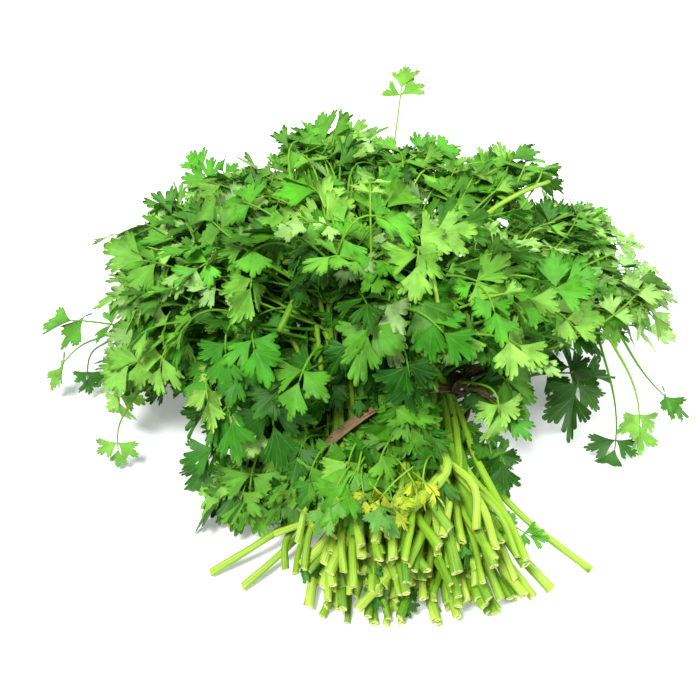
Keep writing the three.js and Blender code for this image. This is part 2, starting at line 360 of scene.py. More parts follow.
def stalk(soup, path, radii, sides, ribs, tint, slot, cut=None, flat=1.0):
    """A ribbed stalk along a path. cut gives its first end a face cut with that slant."""
    ahead, across, over = frames_along(path)
    angle = np.linspace(0, 2 * math.pi, sides, endpoint=False)
    rib = 1 + 0.06 * np.cos(ribs * angle) if ribs else np.ones(sides)
    rings = (np.cos(angle) * rib)[None, :, None] * across[:, None, :]
    rings = rings + flat * (np.sin(angle) * rib)[None, :, None] * over[:, None, :]
    rings = path[:, None, :] + rings * np.array(radii)[:, None, None]
    gone = gone_along(path)
    tints = np.empty((len(path), sides, 4))
    tints[:] = tint
    if cut is not None:
        tints[:, :, 1] = np.clip(gone / 150, 0, 1)[:, None]
        faces, shades = [], []
        for scale, depth, mark in CUT_RINGS:
            tilt = cut * scale * np.cos(angle)[:, None] * radii[0]
            faces.append(path[0] + (rings[0] - path[0]) * scale + ahead[0] * (depth + tilt))
            shades.append(np.tile(np.array([tint[0], 0, mark, tint[3]], float), (sides, 1)))
        rings = np.concatenate([np.array(faces[::-1]), rings])
        tints = np.concatenate([np.array(shades[::-1]), tints])
    closed_tube(soup, rings, tints, slot, gone[-1])


def ribbon(soup, path, out, width, curl, rng, shade):
    """A strip of dry leaf along a path. out gives the side that it faces at each step."""
    steps = len(path)
    ahead = headings(path)
    out = out - ahead * np.sum(out * ahead, axis=1)[:, None]
    out /= np.linalg.norm(out, axis=1)[:, None]
    across = np.cross(ahead, out)
    s = np.linspace(-1, 1, 9)
    along = np.linspace(0, 1, steps)[:, None]
    phase = rng.uniform(0, 6.3, 4)
    crease = 0.35 * np.sin(7 * s + 5 * np.sin(9 * along + phase[0]) + phase[1])
    crease = crease + 0.5 * np.sin(31 * along + phase[2] + 2 * s)
    lift = curl * (s * s - 0.4) + crease * 0.5
    half = width / 2 * (1 + 0.16 * np.sin(23 * along + phase[3]) + 0.1 * np.sin(57 * along))
    half = half * np.clip(np.minimum(along, 1 - along) * 12 + 0.35, 0, 1)
    face = path[:, None, :] + across[:, None, :] * (half * s)[:, :, None]
    face = face + out[:, None, :] * lift[:, :, None]
    back = face - out[:, None, :] * 0.7
    rings = np.concatenate([face, back[:, ::-1]], 1)
    gone = np.linalg.norm(np.diff(path, axis=0), axis=1).sum()
    closed_tube(soup, rings[:, ::-1], (shade, 0, 0, 0), 0, gone)


# --- leaflets ---
# rounded teeth, as (place across the tooth, share of its height), from finest to coarsest
TEETH = [
    (4, ((0.08, 0.955), (0.3, 0.995), (0.55, 1.0), (0.8, 0.985), (0.95, 0.945))),
    (3, ((0.10, 0.95), (0.36, 1.0), (0.66, 0.995), (0.90, 0.945))),
    (3, ((0.14, 0.95), (0.5, 1.0), (0.86, 0.95))),
]
# rows of points from the base to the rim, and sides of the leaf's stalk, finest to coarsest
ROWS = (6, 4, 3)
STALK_SIDES = (8, 6, 5)
HALF_LEAF = 0.16    # half a blade's thickness
LEAF_SLOT, STALK_SLOT, WILTED_SLOT = 0, 1, 2


def fan_outline(rng, detail, deep):
    """The rim of a three-lobed fan: turn from -1 to 1, and how far out it is."""
    teeth, tooth = TEETH[detail]
    edges = [-1, -0.34 + rng.uniform(-0.06, 0.06), 0.34 + rng.uniform(-0.06, 0.06), 1]
    reach = [rng.uniform(0.76, 0.92), 1, rng.uniform(0.76, 0.92)]
    turns, out = [-1], [rng.uniform(0.4, 0.55)]
    for lobe in range(3):
        start, stop = edges[lobe] + 0.06, edges[lobe + 1] - 0.06
        split = rng.integers(0, 2 * teeth)
        shares = rng.uniform(0.75, 1.25, teeth)
        marks = start + (stop - start) * np.concatenate([[0], np.cumsum(shares) / shares.sum()])
        for k in range(teeth):
            middle = 2 * (k + 0.5) / teeth - 1
            top = reach[lobe] * (1 - 0.24 * middle * middle) * rng.uniform(0.96, 1.04)
            for share, height in tooth:
                turns.append(mix(marks[k], marks[k + 1], share))
                out.append(top * height)
            if k < teeth - 1:
                turns.append(marks[k + 1])
                out.append(top * (rng.uniform(0.66, 0.76) if k == split else rng.uniform(0.83, 0.89)))
        if lobe < 2:
            turns.append(edges[lobe + 1])
            out.append(deep * rng.uniform(0.85, 1.15))
    return np.array(turns + [1]), np.array(out + [rng.uniform(0.4, 0.55)])


def leaflet(rng, length, breadth, detail, curl, tint):
    """A leaflet from the origin along +X: points, faces with flat coordinates, and tints."""
    rows = ROWS[detail]
    turns, out = fan_outline(rng, detail, rng.uniform(0.46, 0.76))
    steps = np.linspace(0, 1, rows + 1) ** 0.85
    steps[0] = 0.02
    r = steps[:, None] * out[None, :]
    turn = np.broadcast_to(turns, r.shape)
    spread = rng.uniform(46, 62) * DEG
    angle = turn * spread * (0.5 + 0.5 * r**0.8)
    x = length * r * np.cos(angle)
    y = breadth * r * np.sin(angle)
    wave = rng.uniform(0.015, 0.05) * length
    fold = rng.uniform(-0.1, 0.3) if rng.uniform() < 0.75 else rng.uniform(0.4, 1.0)
    z = fold * np.sqrt(y * y + 1) + rng.uniform(-0.006, 0.006) * y * y - curl * x * x
    z = z + wave * r * r * np.sin(turn * rng.uniform(4, 8) + rng.uniform(0, 6.3))
    z = z + 0.4 * wave * r**3 * np.sin(turn * rng.uniform(12, 18) + rng.uniform(0, 6.3))
    twist = rng.uniform(-0.6, 0.6) * x / length
    y, z = y * np.cos(twist) - z * np.sin(twist), y * np.sin(twist) + z * np.cos(twist)
    flat = np.stack([0.5 + 0.5 * turn, r], -1).reshape(-1, 2)
    sheet = np.stack([x, y, z - z[0, 0]], -1).reshape(-1, 3)
    n, columns = len(sheet), len(turns)
    lift = vec(0, 0, HALF_LEAF)
    points = np.vstack([sheet + lift, sheet - lift])
    top = grid_faces(rows + 1, columns)
    rim = np.concatenate([
        np.arange(columns), np.arange(1, rows + 1) * columns + columns - 1,
        rows * columns + np.arange(columns - 2, -1, -1), np.arange(rows - 1, 0, -1) * columns])
    after = np.roll(rim, -1)
    walls = np.stack([rim, after, after + n, rim + n], 1)[:, ::-1]
    tints = np.empty((2 * n, 4))
    tints[:] = tint
    tints[:n, 2], tints[n:, 2] = 0, 1
    upper = np.concatenate([top[:, ::-1], walls])
    return points, [(upper, flat[upper % n]), (top + n, flat[top])], tints


def turned(points, z=0.0, y=0.0, x=0.0):
    m = Matrix.Rotation(z, 3, "Z") @ Matrix.Rotation(y, 3, "Y") @ Matrix.Rotation(x, 3, "X")
    return points @ np.array(m).T


def leaf_matrix(leaf):
    m = Matrix.Rotation((90 - leaf["heading"]) * DEG, 3, "Z")
    m = m @ Matrix.Rotation(leaf["pitch"] * DEG, 3, "Y")
    return np.array(m @ Matrix.Rotation(leaf["roll"] * DEG, 3, "X"))


def covers_tie(points):
    """Whether points hide the tie where it should show."""
    way = vec(*WINDOW_WAY)
    for middle, run, long, broad in WINDOWS:
        away = points - vec(*middle)
        before = away @ way
        away = away - before[:, None] * way
        run = vec(*run) - way * way.dot(run)
        run /= np.linalg.norm(run)
        along = away @ run
        aside = np.linalg.norm(away - along[:, None] * run, axis=1)
        if np.any((before > 0) & ((along / long) ** 2 + (aside / broad) ** 2 < 1)):
            return True
    return False


def below_brim(at):
    return SLOPE_UP * at[2] + SLOPE_ALONG * at[1] < np.interp(at[0], BRIM_X, BRIM_RISE)


def compound_leaf(home, rng, leaf, start, detail=0, pairs=2, keep=False):
    """A leaf stalk with its leaflets, as one grown piece. False if it would hide the tie."""
    soup = Soup()
    turn, s = leaf_matrix(leaf), leaf["size"]
    begin = (start - leaf["at"]) @ turn
    tip = LEAFLET["end"] * s
    reach = np.linalg.norm(begin)
    bow = vec(begin[0] * 0.62, begin[1] * 0.75, begin[2] * 0.7 + 0.02 * reach)
    lead = vec(-0.40 * reach, 0, -0.03 * reach)
    path = bezier(begin, bow, lead, vec(0, 0, 0), 13)
    path = np.vstack([path, [[tip / 2, 0, -LEAFLET["droop"] * tip * tip / 4],
                             [tip, 0, -LEAFLET["droop"] * tip * tip]]])
    tone, youth, pale = leaf["tone"], leaf["youth"], leaf.get("pale", 0)
    blade, narrow, curled = (WILTED_SLOT, 0.5, 3) if leaf.get("wilted") else (LEAF_SLOT, 1, 1)
    radii = np.linspace(1.3, 0.5, len(path)) * s**0.5
    stalk(soup, path @ turn.T + leaf["at"], radii, STALK_SIDES[detail], 0,
          (tone, 1, 0, youth * 0.5), STALK_SLOT)
    plan = [(LEAFLET["middle"], 0, tip), (LEAFLET["side"], 54, 0), (LEAFLET["side"], -54, 0)]
    for pair in range(1, pairs):
        long, along = LEAFLET["low"] * 0.9 ** (pair - 1), -LEAFLET["apart"] * s * pair
        if reach > -along + 4:
            plan += [(long, 64, along), (long, -64, along)]
    for long, degrees, along in plan:
        long *= s * rng.uniform(0.8, 1.1)
        tint = (tone + rng.uniform(-0.1, 0.1), youth * rng.uniform(0.8, 1.1), 0, pale)
        points, sets, tints = leaflet(rng, long, long * rng.uniform(0.85, 1.1) * narrow, detail,
                                      rng.uniform(0.001, 0.014) * curled, tint)
        lean = rng.uniform(-0.4, 0.4)
        dip = rng.uniform(-0.3, 0.5)
        points = turned(points, x=lean)
        points = turned(points, z=(degrees + rng.uniform(-16, 16)) * DEG, y=dip)
        near = path[np.argmin(abs(path[:, 0] - along))]
        points = points + near
        past = np.clip(points[:, 0] - max(near[0], 0), 0, None)
        points[:, 2] -= LEAFLET["droop"] * past**2 * 0.8
        soup.add(points @ turn.T + leaf["at"], sets, tints, blade)
    if not keep and covers_tie(np.vstack(soup.points[1:])):
        return False
    home.join(soup)
    return True


# --- materials ---
class Nodes:
    """Short calls for building a material's node tree."""

    def __init__(self, name):
        self.material = bpy.data.materials.new(name)
        self.material.use_nodes = True
        self.tree = self.material.node_tree
        self.tree.nodes.clear()

    def new(self, kind, inputs=None, **settings):
        node = self.tree.nodes.new(kind)
        for key, value in settings.items():
            setattr(node, key, value)
        for key, value in (inputs or {}).items():
            self.feed(node.inputs[key], value)
        return node

    def feed(self, socket, value):
        if isinstance(value, bpy.types.NodeSocket):
            self.tree.links.new(value, socket)
        elif isinstance(value, tuple) and len(value) == 3 and socket.type == "RGBA":
            socket.default_value = (*value, 1)
        else:
            socket.default_value = value

    def math(self, operation, *values, clamp=False):
        node = self.new("ShaderNodeMath", operation=operation, use_clamp=clamp)
        for socket, value in zip(node.inputs, values):
            self.feed(socket, value)
        return node.outputs[0]

    def times(self, a, b):
        return self.math("MULTIPLY", a, b)

    def blend(self, amount, a, b, mode="MIX"):
        node = self.new("ShaderNodeMix", data_type="RGBA", blend_type=mode)
        self.feed(node.inputs[0], amount)
        self.feed(node.inputs[6], a)
        self.feed(node.inputs[7], b)
        return node.outputs[2]

    def filter(self, colour, by):
        return self.blend(1.0, colour, by, "MULTIPLY")

    def ramp(self, value, stops):
        node = self.new("ShaderNodeValToRGB", {"Fac": value})
        ramp = node.color_ramp
        while len(ramp.elements) < len(stops):
            ramp.elements.new(0.5)
        for element, (at, colour) in zip(ramp.elements, stops):
            element.position = at
            element.color = (*colour, 1) if isinstance(colour, tuple) else (colour,) * 3 + (1,)
        return node.outputs["Color"]

    def noise(self, vector, scale, detail=3, roughness=0.5):
        node = self.new("ShaderNodeTexNoise", {
            "Vector": vector, "Scale": scale, "Detail": detail, "Roughness": roughness})
        return node.outputs["Fac"]

    def tint(self):
        """The tint's red, green, blue and fourth number."""
        attribute = self.new("ShaderNodeAttribute", attribute_name="tint")
        parts = self.new("ShaderNodeSeparateColor", {"Color": attribute.outputs["Color"]})
        return [parts.outputs[k] for k in range(3)] + [attribute.outputs["Alpha"]]

    def place(self):
        return self.new("ShaderNodeTexCoord").outputs["Object"]

    def bump(self, strength, distance, height):
        node = self.new("ShaderNodeBump", {"Strength": strength, "Distance": distance, "Height": height})
        return node.outputs[0]

    def flat(self):
        uv = self.new("ShaderNodeUVMap", uv_map="flat").outputs["UV"]
        parts = self.new("ShaderNodeSeparateXYZ", {"Vector": uv})
        return parts.outputs[0], parts.outputs[1]

    def finish(self, shader):
        out = self.new("ShaderNodeOutputMaterial")
        self.tree.links.new(shader, out.inputs["Surface"])
        return self.material


def leaf_material(name, young_from, young_to):
    """A leaf's face and underside. The two colours are a young leaf's, dull and bright."""
    n = Nodes(name)
    tone, youth, under, pale_and_sheen = n.tint()
    where = n.place()
    turn, out = n.flat()
    wobble = n.math("MULTIPLY_ADD", n.noise(where, 140, 2), 0.09, -0.045)
    turn = n.math("ADD", turn, n.times(wobble, out))

    def ribs(count, width):
        """Lines that fan out from the leaflet's base, of even width in millimetres."""
        f = n.math("FRACT", n.times(turn, count))
        near = n.times(n.math("ABSOLUTE", n.math("SUBTRACT", f, 0.5)), 1 / count)
        far = n.times(near, n.math("MAXIMUM", out, 0.15))
        return n.math("SUBTRACT", 1.0, n.math("DIVIDE", far, width), clamp=True)

    main = n.times(ribs(3.0, 0.011), n.math("MULTIPLY_ADD", out, -0.6, 1.0, clamp=True))
    fork = n.times(ribs(9.0, 0.007), n.math("SUBTRACT", out, 0.30, clamp=True))
    vein = n.math("MAXIMUM", main, n.times(fork, 1.3), clamp=True)
    deep = n.ramp(tone, [(0, (0.008, 0.078, 0.002)), (0.45, (0.029, 0.225, 0.004)),
                         (1, (0.096, 0.440, 0.011))])
    young = n.ramp(tone, [(0, young_from), (1, young_to)])
    colour = n.blend(youth, deep, young)
    # paleness from the tint: partly some leaves' own pale colour, partly painted light on the outer
    # leaves
    colour = n.blend(pale_and_sheen, colour, (0.50, 0.73, 0.28))
    mottle = n.ramp(n.noise(where, 70, 4, 0.6), [(0.3, 0.62), (0.7, 1.22)])
    colour = n.filter(colour, mottle)
    grey = n.blend(0.32, colour, (0.16, 0.39, 0.055))
    lighter = n.blend(0.35, colour, (0.34, 0.60, 0.10))
    colour = n.blend(n.times(vein, 0.55), colour, lighter)
    edge = n.ramp(out, [(0.8, 0.0), (1.0, 0.30)])
    colour = n.blend(edge, colour, n.blend(0.4, colour, (0.36, 0.60, 0.04)))
    colour = n.blend(under, colour, n.blend(n.times(vein, 0.4), grey, (0.34, 0.50, 0.18)))
    height = n.math("MULTIPLY_ADD", vein, -0.5, n.times(n.noise(where, 420, 3), 0.6))
    bump = n.bump(0.5, 0.0006, height)
    rough = n.math("MULTIPLY_ADD", n.noise(where, 60, 2), 0.25, 0.38)
    body = n.new("ShaderNodeBsdfPrincipled", {
        "Base Color": colour, "Roughness": rough, "Specular IOR Level": 0.24,
        "Normal": bump})
    glow = n.filter(colour, (1.7, 1.35, 0.6))
    through = n.new("ShaderNodeBsdfTranslucent", {"Color": glow, "Normal": bump})
    both = n.new("ShaderNodeMixShader", {0: 0.3, 1: body.outputs[0], 2: through.outputs[0]})
    return n.finish(both.outputs[0])


def stem_material():
    n = Nodes("coriander_stalk")
    tone, along, cut, youth = n.tint()
    where = n.place()
    round_, length = n.flat()
    pale = n.ramp(tone, [(0, (0.050, 0.190, 0.005)), (0.5, (0.175, 0.350, 0.012)),
                         (1, (0.400, 0.550, 0.080))])
    green = n.ramp(tone, [(0, (0.035, 0.170, 0.005)), (1, (0.15, 0.38, 0.018))])
    colour = n.blend(n.ramp(along, [(0.0, 0.0), (0.7, 0.75), (1, 1.0)]), pale, green)
    colour = n.blend(n.times(youth, 0.4), colour, (0.40, 0.54, 0.06))
    stretch = n.new("ShaderNodeCombineXYZ", {
        "X": n.times(round_, 9), "Y": n.times(length, 1.6), "Z": tone})
    streak = n.ramp(n.noise(stretch.outputs[0], 3.0, 4, 0.65), [(0.28, 0.6), (0.5, 0.95), (0.72, 1.15)])
    colour = n.filter(colour, streak)
    ring = n.ramp(n.noise(where, 700, 3, 0.7), [(0.35, (0.34, 0.32, 0.08)), (0.5, (0.60, 0.66, 0.20)),
                                               (0.75, (0.78, 0.84, 0.42))])
    colour = n.blend(cut, colour, ring)
    line = n.math("SINE", n.times(round_, 2 * math.pi * 14))
    height = n.math("MULTIPLY_ADD", line, 0.4, n.noise(where, 300, 3))
    bump = n.bump(0.4, 0.0005, height)
    body = n.new("ShaderNodeBsdfPrincipled", {
        "Base Color": colour, "Roughness": n.math("MULTIPLY_ADD", cut, 0.3, 0.4),
        "Specular IOR Level": 0.18, "Normal": bump,
        "Subsurface Weight": 0.1, "Subsurface Radius": (0.8, 1.0, 0.3), "Subsurface Scale": 0.0015})
    return n.finish(body.outputs[0])


def tie_material():
    n = Nodes("dry_palm_leaf")
    shade = n.tint()[0]
    where = n.place()
    round_, length = n.flat()
    fibre = n.new("ShaderNodeCombineXYZ", {
        "X": n.times(round_, 30), "Y": n.times(length, 5), "Z": shade})
    grain = n.noise(fibre.outputs[0], 2.0, 5, 0.65)
    colour = n.ramp(grain, [(0.28, (0.050, 0.029, 0.011)), (0.5, (0.23, 0.140, 0.060)),
                            (0.78, (0.56, 0.40, 0.23))])
    patch = n.ramp(n.noise(where, 60, 3), [(0.35, 0.5), (0.65, 1.2)])
    colour = n.filter(colour, patch)
    colour = n.blend(shade, colour, n.filter(colour, (0.30, 0.27, 0.22)))
    bump = n.bump(0.8, 0.0006, grain)
    body = n.new("ShaderNodeBsdfPrincipled", {
        "Base Color": colour, "Roughness": 0.62, "Specular IOR Level": 0.3, "Normal": bump})
    return n.finish(body.outputs[0])


LEAF_LOOK = leaf_material("coriander_leaf", (0.145, 0.455, 0.015), (0.345, 0.630, 0.100))
WILTED_LOOK = leaf_material("wilted_leaf", (0.30, 0.47, 0.018), (0.62, 0.66, 0.045))
STEM_LOOK, TIE_LOOK = stem_material(), tie_material()

# --- stems ---
rng = np.random.default_rng(7)
SPRIGS = cad_sprigs()
stem_soups = {s["index"]: Soup(press=0.6) for s in SPRIGS}
leaf_soups = {leaf["index"]: Soup() for s in SPRIGS for leaf in s["leaves"]}
leaf_places = {leaf["index"]: leaf["at"].copy() for s in SPRIGS for leaf in s["leaves"]}
stem_paths = []     # every stem's points past the tie
MOVES = 7           # how often one of the solids' leaves gives way to the tie
STEM_STEPS, PAST_TIE = 28, 12   # steps along a stem, and the first that is past the tie
SLIMMER = 0.74      # share of its solid's radius that a stem has


def grow_stem(soup, sprig, tone):
    path = stem_curve(sprig, STEM_STEPS)
    radii = np.linspace(sprig["radius"], 1.5, STEM_STEPS + 1)
    radii[:3] *= np.array([1.06, 1.03, 1.0])
    radii *= 1 + 0.03 * np.sin(np.arange(STEM_STEPS + 1) * 1.3 + sprig["index"])
    stalk(soup, path, radii, 18, int(rng.integers(5, 9)), (tone, 0, 0, rng.uniform(0, 0.6)), 0,
          cut=rng.uniform(-0.5, 0.5), flat=rng.uniform(0.78, 1))
    stem_paths.append(path[PAST_TIE:])
    return path


def stem_home(u, level):
    """The mesh of the solid stem that is nearest to this place in the tie."""
    home = min(SPRIGS, key=lambda s: math.hypot(s["u"] - u, s["level"] - level))
    return stem_soups[home["index"]]


def leaf_starts(sprig, path):
    """Where each of a stem's leaves leaves it."""
    ahead = path[-1] - path[-2]
    ahead /= np.linalg.norm(ahead)
    across = vec(ahead[1], -ahead[0], 0) / max(np.linalg.norm(ahead[:2]), 1e-6)
    count = len(sprig["leaves"])
    for k, leaf in enumerate(sprig["leaves"]):
        side = k - 1 if count == 3 else k
        yield leaf, (path[int(0.93 * (len(path) - 1))] + across * side if side else path[-1])


for sprig in SPRIGS:
    sprig["radius"] *= SLIMMER
    sprig["bow"] = vec(*rng.uniform(-5, 5, 2), rng.uniform(0, 3))
    path = grow_stem(stem_soups[sprig["index"]], sprig, rng.uniform())
    for leaf, start in leaf_starts(sprig, path):
        leaf["tone"], leaf["youth"] = rng.uniform(0, 0.85), rng.uniform() ** 2 * 0.8
        if leaf["lies"]:
            leaf["at"][2] -= 8
        if sprig["level"] == TIERS[FRONT][-1]:
            leaf["tone"], leaf["youth"] = leaf["tone"] * 0.6, leaf["youth"] * 0.3
            leaf["size"] *= 0.84
        for _ in range(5):
            leaf["at"][1] += 5 * below_brim(leaf["at"])
        if leaf.get("stray"):
            leaf["size"], leaf["tone"], leaf["youth"] = 0.78, 0.7, 0.6
            leaf["at"][1:] += (24, 2)
        for more in range(MOVES + 1):
            if compound_leaf(leaf_soups[leaf["index"]], rng, leaf, start,
                             pairs=1 if leaf.get("stray") else 3, keep=more == MOVES):
                break
            leaf["at"] += (0, 5, 2)

# stems between the solids' own, as far from each other as they will go
FILL_STEMS, THICK_EACH = 170, 8
chosen = [(s["u"], s["level"] * math.sqrt(1 - s["u"] ** 2)) for s in SPRIGS]
for _ in range(FILL_STEMS):
    tries = rng.uniform(-1, 1, (60, 2))
    tries = tries[np.hypot(*tries.T) < 0.98]
    gaps = [min(math.hypot((a - x) * 1.3, b - y) for x, y in chosen) for a, b in tries]
    chosen.append(tuple(tries[int(np.argmax(gaps))]))

# where the tiers' stems pass through the tie, with the top one raised to fill it
TIER_LEVELS = [-1, -0.5, -0.06, 0.41, 0.7]
for index, (u, v) in enumerate(chosen[len(SPRIGS):], len(SPRIGS)):
    level = np.clip(v / math.sqrt(1 - u * u), -1, 1)
    span, across, along, height = (
        float(np.interp(level, TIER_LEVELS, [t[k] for t in TIERS[:FRONT]])) for k in (2, 3, 4, 5))
    fork = fork_place(u / 0.94, span, across, along, False) + vec(*rng.uniform(-10, 10, 3))
    sprig = course(index, u, level, fork)
    sprig["radius"] = rng.uniform(2.8, 3.5) if index % THICK_EACH == 0 else rng.uniform(1.7, 2.9)
    cut = sprig["cut"]
    cut += vec(rng.normal(0, 11), rng.uniform(-16, 15), rng.uniform(-16, 0))
    cut[0] = mix(cut[0], rng.uniform(-92, 84), 0.45)
    cut[1] = max(cut[1], 30 * ((cut[0] - 5) / 75) ** 4 - 113)
    cut[2] = max(cut[2], sprig["radius"] + 0.3)
    sprig["sway"] = vec(rng.uniform(-6, 6), 0, rng.uniform(-1, 3))
    sprig["bow"] = vec(rng.uniform(-9, 9), rng.uniform(-4, 4), rng.uniform(-1, 5))
    fork[2] = mix(sprig["tie"][2], height, 0.6) + rng.uniform(-8, 8)
    grow_stem(stem_home(u, level), sprig, rng.uniform())

# stems that stray from the rest: cut end, place across the tie, level, radius and bend
LOOSE_STEMS = [
    ((-112, -78, 4), -0.90, -0.75, 2.6, (8, 0, 6)),
    ((-92, -88, 4), -0.84, -0.90, 2.4, (4, 0, 3)),
    ((-104, -46, 10), -0.95, -0.20, 2.3, (0, -4, 4)),
    ((-72, -72, 34), -0.80, 0.35, 2.2, (22, -8, 14)),
    ((118, -76, 4), 0.92, -0.60, 2.5, (-14, 0, 10)),
    ((92, -90, 4), 0.84, -0.95, 3.3, (-6, 0, 4)),
    ((2, -112, 3), 0.10, -1.0, 2.2, (0, 0, 0)),
    ((-8, -88, 58), 0.52, 0.94, 4.3, (26, 8, 13)),
    ((-58, -84, 42), -0.30, 0.85, 2.0, (-6, 4, 10)),
    ((44, -82, 52), 0.20, 0.92, 2.6, (10, 0, 8)),
]
for number, (cut, u, level, radius, bend) in enumerate(LOOSE_STEMS, len(chosen)):
    sprig = course(number, u, level, fork_place(u, 100, 120, 100, False))
    sprig.update(cut=vec(*cut), radius=radius, bow=vec(*bend), sway=vec(*bend) * 0.4)
    sprig["fork"][2] = sprig["tie"][2] + 20
    grow_stem(stem_home(u, level), sprig, 0.75)

# --- leaves ---
GROWN = np.vstack(stem_paths)     # leaf stalks start from these
EVEN_OUT = 600     # points in a piece that weigh as much as a millimetre of distance
# painted shade: the dome's leaves are drawn darker round this place; painted light: all are drawn paler
# from PALE_FROM away from it
SHADED, SHADED_SIZE = vec(-10, 2, 100), 66
PALE_FROM, PALE_OVER, OUTER_PAINTED_LIGHT = 55, 110, 0.06


def grow_leaf(at, heading, pitch, roll, size, tone, youth, pale=0.0, detail=1, pairs=2, start=None,
              back=55, wilted=False):
    """A leaf at a place, on a stalk from the nearest stem behind it unless start is given."""
    at = vec(*at)
    if start is None:
        wanted = at - bearing(heading) * back - vec(0, 0, 12)
        start = GROWN[np.argmin(np.linalg.norm(GROWN - wanted, axis=1))]
    # painted light: a leaf is drawn paler the further it is from SHADED, a pale sheen of light on the
    # outer leaves
    outer = np.clip((np.linalg.norm(at - SHADED) - PALE_FROM) / PALE_OVER, 0, 1)
    pale = pale + OUTER_PAINTED_LIGHT * outer * (not wilted)
    leaf = dict(at=at, heading=heading, pitch=pitch, roll=roll, size=size,
                tone=float(np.clip(tone, 0, 1)), youth=float(np.clip(youth, 0, 1)), pale=pale,
                wilted=wilted)
    nearest = min(leaf_places, key=lambda k: np.linalg.norm(leaf_places[k] - at)
                  + leaf_soups[k].count / EVEN_OUT)
    compound_leaf(leaf_soups[nearest], rng, leaf, vec(*start), detail, pairs)


# layers of the dome: leaves, share of its size, detail, brightest tone, most youth; the inner layers are
# drawn darker and duller, as painted shade inside the dome
LAYERS = [(310, 1.0, 1, 1.0, 1.0), (180, 0.84, 2, 0.6, 0.4), (100, 0.66, 2, 0.3, 0.1)]
# past this bearing to either side is the front, where leaves grow only above this share of the rise
FRONT_FROM, FRONT_RISE_FROM = 118, 0.30
HOLLOW, HOLLOW_SIZE = vec(-52, 14, 122), 34     # a dark gap over the tie's left
SUNNY = (-88, 50)   # leaves further left or right than these are brighter
for count, share, detail, tone, youth in LAYERS:
    for k in range(count):
        azimuth = (k * GOLDEN * 360 + 180) % 360 - 180 + rng.uniform(-6, 6)
        rise = min((k + 0.5) / count, 0.995)
        wide = math.sqrt(1 - rise * rise)
        grow = (rise ** DOME["square"] + wide ** DOME["square"]) ** (-1 / DOME["square"])
        rise, wide = rise * grow, wide * grow
        way = bearing(azimuth)
        front = abs(azimuth) > FRONT_FROM
        if front and rise < FRONT_RISE_FROM:
            continue
        far = share * rng.uniform(0.9, 1.05)
        at = vec(FAN_X + DOME["x"] * wide * way[0] * far,
                 FAN_Y + (DOME["back"] if way[1] > 0 else DOME["front"]) * wide * way[1] * far,
                 DOME["base"] + DOME["rise"] * rise * far * rng.uniform(0.9, 1.04))
        heading = azimuth + rng.uniform(-55, 55)
        pitch = mix(18, -4, rise) + (26 * wide if front else 0) + rng.uniform(-34, 36)
        size = rng.uniform(0.58, 1.02)
        if below_brim(at) or np.linalg.norm(at - HOLLOW) < HOLLOW_SIZE * share ** 2:
            continue
        # painted shade: leaves near SHADED get a darker tone and less youth; painted light: leaves past
        # SUNNY get a lighter tone and more youth, and pale leaves come more often where bright is high
        shade = 1 - 0.55 * math.exp(-((np.linalg.norm(at - SHADED) / SHADED_SIZE) ** 2))
        sunny = not SUNNY[0] < at[0] < SUNNY[1]
        bright = youth * shade * (1.5 if sunny else 1)
        pale = rng.uniform(0.2, 0.6) * (rng.uniform() < 0.12 * bright ** 2)
        grow_leaf(at, heading, pitch, rng.uniform(-46, 46), size,
                  (rng.uniform(0.02, tone) * shade) ** 1.3 + 0.12 * sunny,
                  rng.uniform() ** 2.2 * bright, pale=pale, detail=detail,
                  pairs=2 if detail == 1 else 1)

# looser leaves past the dome's shoulders: middle, spread, how many, and what share is pale
WINGS = [
    ((112, 122, 108), (36, 30, 24), 60, 0.3),
    ((146, 92, 86), (30, 30, 20), 34, 0.6),
    ((-146, 76, 100), (34, 28, 22), 46, 0.25),
    ((-104, 134, 130), (56, 32, 24), 46, 0.1),
    ((-140, 112, 112), (40, 30, 20), 20, 0.2),
    ((-46, 162, 152), (34, 20, 16), 18, 0.1),
    ((12, 160, 148), (30, 20, 14), 16, 0.1),
    ((62, 150, 138), (50, 26, 20), 28, 0.2),
]
for middle, spread, count, paleness in WINGS:
    for k in range(count):
        way = rng.normal(0, 1, 3)
        at = vec(*middle) + way / np.linalg.norm(way) * rng.uniform(0.3, 1) * vec(*spread)
        heading = math.atan2(at[0] - FAN_X, at[1] - FAN_Y) / DEG + rng.uniform(-50, 50)
        if below_brim(at):
            continue
        pale = rng.uniform(0.2, 0.65) * (rng.uniform() < paleness)
        grow_leaf(at, heading, rng.uniform(-24, 44), rng.uniform(-46, 46), rng.uniform(0.62, 1.0),
                  rng.uniform(0.2, 1), rng.uniform() ** 1.6, pale=pale)


def pile_top(x, y):
    """How high the stems lie at a place before the tie."""
    t = min(max(-y / 100, 0), 1)
    aside = abs(x - 16 * t) / mix(52, 84, t)
    return mix(76, 64, t) * (0.5 + 0.5 * math.sqrt(1 - aside * aside)) if aside < 1 else 30 / aside


# leaves that hang over the tie and lie on the stems before it
SKIRT, STRAP_LEAVES, WILTED_LEAVES = 84, 34, 13
for k in range(SKIRT):
    x = mix(-104, 66, (k * GOLDEN) % 1)
    reach = math.sqrt(max(0.1, 1 - ((x + 22) / 96) ** 2))
    y = -4 - 56 * reach * rng.uniform(0.1, 1)
    at = vec(x, y, pile_top(x, y) + rng.uniform(5, 22))
    heading = 180 + (x + 20) * -0.55 + rng.uniform(-40, 40)
    size = rng.uniform(0.66, 1.05)
    grow_leaf(at, heading, rng.uniform(10, 56), rng.uniform(-30, 30), size, rng.uniform(0, 0.65),
              rng.uniform() ** 2.5 * 0.8, back=40)

# small leaves round the gap where the strap shows
for k in range(STRAP_LEAVES):
    at = vec(mix(-66, 34, (k * GOLDEN) % 1), rng.uniform(-46, 6), rng.uniform(70, 86))
    grow_leaf(at, rng.uniform(90, 270), rng.uniform(-10, 50), rng.uniform(-40, 40),
              rng.uniform(0.4, 0.68), rng.uniform(0, 0.5), rng.uniform() ** 3 * 0.6, back=25)

